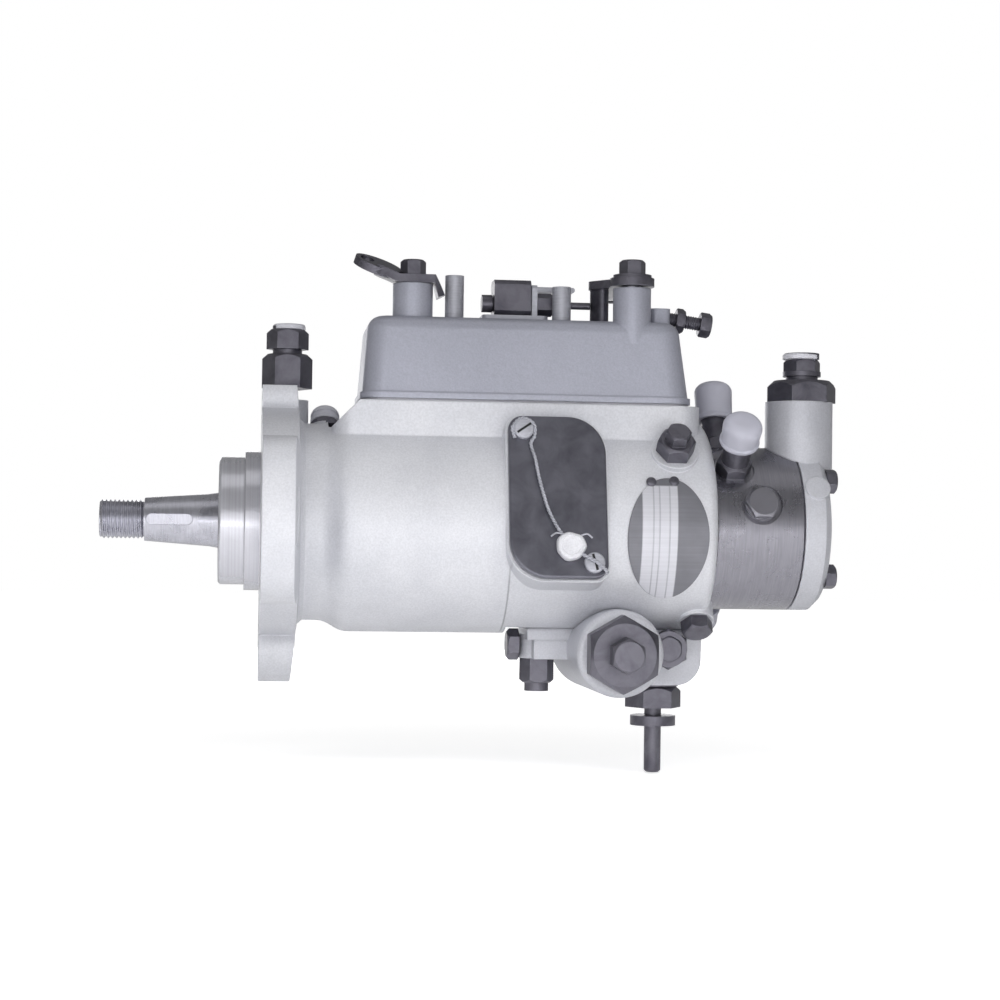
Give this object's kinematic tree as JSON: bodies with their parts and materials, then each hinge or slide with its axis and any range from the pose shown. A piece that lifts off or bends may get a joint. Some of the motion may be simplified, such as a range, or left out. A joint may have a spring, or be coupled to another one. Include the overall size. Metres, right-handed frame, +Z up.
{
  "type": "diesel injection pump",
  "caption": "Rotary distributor diesel injection pump with flange mounting, mechanical governor, stop and throttle levers, hydraulic head and automatic advance unit.",
  "frame": {"origin": "centre of the flange's mounting face, on the drive shaft's axis", "axes": "+X along the drive shaft towards the hydraulic head, +Z up through the control cover, -Y towards the inspection cover"},
  "size_m": [0.2679, 0.1102, 0.1866],
  "materials": {
    "cast_aluminium": "bead blasted casting",
    "cover_casting": "grey cast finish",
    "dark_steel": "black oxide",
    "bright_steel": "ground",
    "spring_steel": "oiled",
    "bush_bronze": "bored",
    "seal_rubber": "matt",
    "gasket_paper": "matt",
    "cover_paint": "dark grey",
    "cap_plastic": "moulded",
    "wire": "drawn",
    "lead": "pressed"
  },
  "bodies": {
    "pump_body": {"pump_housing": "cast_aluminium", "oil_seals": "seal_rubber", "shaft_bush": "bush_bronze", "control_bracket": "bright_steel", "hydraulic_head": "dark_steel", "outlet_unions": "dark_steel", "dust_caps": "cap_plastic", "transfer_pump_liner": "bright_steel", "end_plate": "cast_aluminium", "regulating_sleeve": "bright_steel", "regulating_spring": "spring_steel", "inlet_filter": "bush_bronze", "inlet_adaptor": "dark_steel", "union_plugs": "dark_steel", "end_plate_screws": "dark_steel", "control_cover": "cover_casting", "cover_studs": "bright_steel", "gaskets": "gasket_paper", "idle_bracket": "dark_steel", "anti_stall_body": "dark_steel", "idle_screw": "dark_steel", "max_speed_screw": "dark_steel", "inspection_cover": "cover_paint", "inspection_screws": "dark_steel", "seal_wire": "wire", "lead_seal": "lead", "data_plate": "cover_paint", "head_locking_screws": "dark_steel", "oil_unions": "dark_steel", "advance_housing": "cast_aluminium", "advance_cap": "dark_steel", "advance_plugs": "dark_steel", "advance_spring": "spring_steel", "locating_fitting": "dark_steel", "advance_fixings": "dark_steel"},
    "drive": {"drive_shaft": "bright_steel", "governor_cage": "bright_steel", "rotor": "bright_steel", "pump_plungers": "bright_steel", "roller_shoes": "bright_steel", "adjusting_plates": "bright_steel", "transfer_pump_rotor": "bright_steel"},
    "governor_sleeve": {"thrust_sleeve": "bright_steel"},
    "governor_arm": {"governor_arm": "bright_steel", "governor_spring": "spring_steel"},
    "link_hook": {"link_hook": "bright_steel"},
    "metering_valve": {"metering_valve": "bright_steel"},
    "throttle": {"throttle_shaft": "bright_steel", "throttle_lever": "dark_steel"},
    "stop": {"stop_shaft": "bright_steel", "stop_lever": "dark_steel"},
    "shut_off_bar": {"shut_off_bar": "bright_steel"},
    "cam_ring": {"cam_ring": "bright_steel", "cam_screw": "bright_steel"},
    "advance_piston": {"advance_piston": "bright_steel"},
    "regulating_piston": {"regulating_piston": "bright_steel"},
    "flyweight_1": {"flyweight_1": "bright_steel"},
    "flyweight_2": {"flyweight_2": "bright_steel"},
    "flyweight_3": {"flyweight_3": "bright_steel"},
    "flyweight_4": {"flyweight_4": "bright_steel"}
  },
  "joints": [
    {"name": "drive_spin", "type": "hinge", "parent": "pump_body", "child": "drive", "pos_m": [0, 0, 0], "axis": [1, 0, 0], "continuous": true},
    {"name": "governor_slide", "type": "slide", "parent": "drive", "child": "governor_sleeve", "axis": [1, 0, 0], "range_m": [0, 0.004]},
    {"name": "governor_arm_swing", "type": "hinge", "parent": "pump_body", "child": "governor_arm", "pos_m": [0.0793, 0, 0.04], "axis": [0, -1, 0], "range_deg": [0, 8.2], "deforming": ["governor_spring"]},
    {"name": "link_slide", "type": "slide", "parent": "pump_body", "child": "link_hook", "axis": [-1, 0, 0], "range_m": [0, 0.00257]},
    {"name": "metering_turn", "type": "hinge", "parent": "pump_body", "child": "metering_valve", "pos_m": [0.141, -0.002, 0.04], "axis": [0, 0, 1], "range_deg": [0, 18.4]},
    {"name": "throttle_turn", "type": "hinge", "parent": "pump_body", "child": "throttle", "pos_m": [0.132, -0.017, 0.08], "axis": [0, 0, -1], "range_deg": [0, 58], "deforming": ["governor_spring"]},
    {"name": "stop_turn", "type": "hinge", "parent": "pump_body", "child": "stop", "pos_m": [0.053, -0.012, 0.08], "axis": [0, 0, -1], "range_deg": [0, 35]},
    {"name": "shut_off_slide", "type": "slide", "parent": "pump_body", "child": "shut_off_bar", "axis": [1, 0, 0], "range_m": [0, 0.0028]},
    {"name": "cam_advance", "type": "hinge", "parent": "pump_body", "child": "cam_ring", "pos_m": [0.125, 0, 0], "axis": [-1, 0, 0], "range_deg": [0, 6]},
    {"name": "advance_slide", "type": "slide", "parent": "pump_body", "child": "advance_piston", "axis": [0, -1, 0], "range_m": [0, 0.0048], "deforming": ["advance_spring"]},
    {"name": "regulating_slide", "type": "slide", "parent": "pump_body", "child": "regulating_piston", "axis": [0, 0, 1], "range_m": [0, 0.0025], "deforming": ["regulating_spring"]},
    {"name": "flyweight_1_swing", "type": "hinge", "parent": "drive", "child": "flyweight_1", "pos_m": [0.0455, 0, 0.024], "axis": [0, -1, 0], "range_deg": [0, 19.2]},
    {"name": "flyweight_2_swing", "type": "hinge", "parent": "drive", "child": "flyweight_2", "pos_m": [0.0455, -0.024, 0], "axis": [0, 0, -1], "range_deg": [0, 19.2]},
    {"name": "flyweight_3_swing", "type": "hinge", "parent": "drive", "child": "flyweight_3", "pos_m": [0.0455, 0, -0.024], "axis": [0, 1, 0], "range_deg": [0, 19.2]},
    {"name": "flyweight_4_swing", "type": "hinge", "parent": "drive", "child": "flyweight_4", "pos_m": [0.0455, 0.024, 0], "axis": [0, 0, 1], "range_deg": [0, 19.2]}
  ],
  "couplings": [
    {"joint": "governor_arm_swing", "follows": "governor_slide", "rad_per_m": 35.343},
    {"joint": "link_slide", "follows": "governor_slide", "ratio": 0.63617},
    {"joint": "metering_turn", "follows": "governor_slide", "rad_per_m": 79.522},
    {"joint": "shut_off_slide", "follows": "stop_turn", "m_per_rad": 0.0045},
    {"joint": "advance_slide", "follows": "cam_advance", "m_per_rad": 0.0452},
    {"joint": "flyweight_1_swing", "follows": "governor_slide", "rad_per_m": 83.339},
    {"joint": "flyweight_2_swing", "follows": "governor_slide", "rad_per_m": 83.339},
    {"joint": "flyweight_3_swing", "follows": "governor_slide", "rad_per_m": 83.339},
    {"joint": "flyweight_4_swing", "follows": "governor_slide", "rad_per_m": 83.339}
  ]
}
